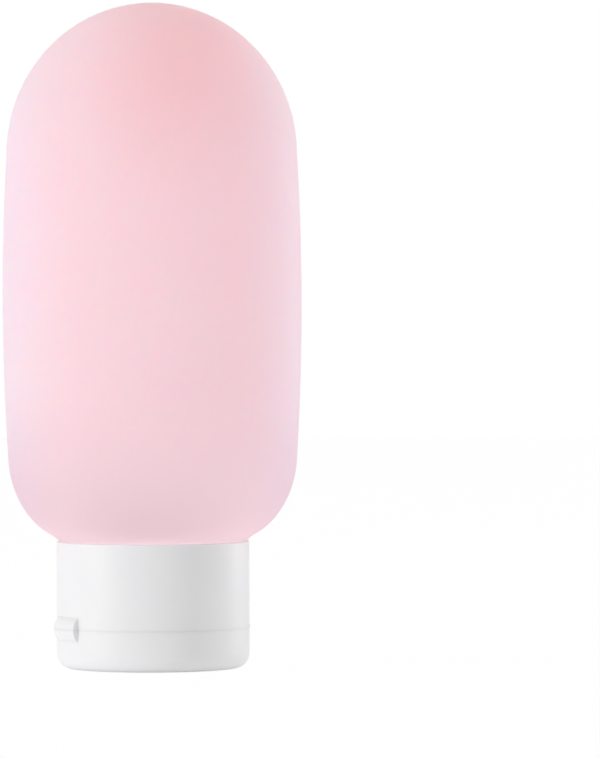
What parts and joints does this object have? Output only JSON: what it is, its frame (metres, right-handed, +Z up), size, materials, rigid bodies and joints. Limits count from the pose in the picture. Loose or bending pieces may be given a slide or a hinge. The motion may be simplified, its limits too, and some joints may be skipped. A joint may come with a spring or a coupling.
{
  "type": "travel squeeze bottle",
  "caption": "Soft oval squeeze bottle with a domed end that stands on a round screw closure, with a flip lid on a living hinge and a slit valve in the spout.",
  "frame": {"origin": "centre of the lid's flat outer face, which the bottle stands on", "axes": "+Z up from the lid to the dome, +X across the bottle's wide side, +Y towards the back; the closure stops turned 26.5 degrees on its thread, with the thumb tab between -X and the front and the living hinge opposite"},
  "size_m": [0.0502, 0.034, 0.1118],
  "materials": {
    "pink_silicone": "frosted, translucent",
    "clear_silicone": "translucent, satin",
    "white_polypropylene": "moulded satin"
  },
  "bodies": {
    "bottle": {"bottle_body": "pink_silicone"},
    "seal": {"sealing_washer": "clear_silicone"},
    "closure": {"closure_base": "white_polypropylene", "drip_valve": "clear_silicone", "valve_retainer": "white_polypropylene", "living_hinge": "white_polypropylene"},
    "lid": {"flip_lid": "white_polypropylene"}
  },
  "joints": [
    {"name": "cap_lift", "type": "slide", "parent": "bottle", "child": "seal", "axis": [0, 0, -1], "range_m": [0, 0.006]},
    {"name": "cap_turn", "type": "hinge", "parent": "seal", "child": "closure", "pos_m": [0, 0, 0.00855], "axis": [0, 0, -1], "range_deg": [0, 540]},
    {"name": "lid_open", "type": "hinge", "parent": "closure", "child": "lid", "pos_m": [0.0136, 0.00678, 0.00698], "axis": [0.4462, -0.8949, 0], "range_deg": [0, 150], "deforming": ["living_hinge"]}
  ],
  "couplings": [
    {"joint": "cap_lift", "follows": "cap_turn", "m_per_rad": 0.0006366}
  ]
}
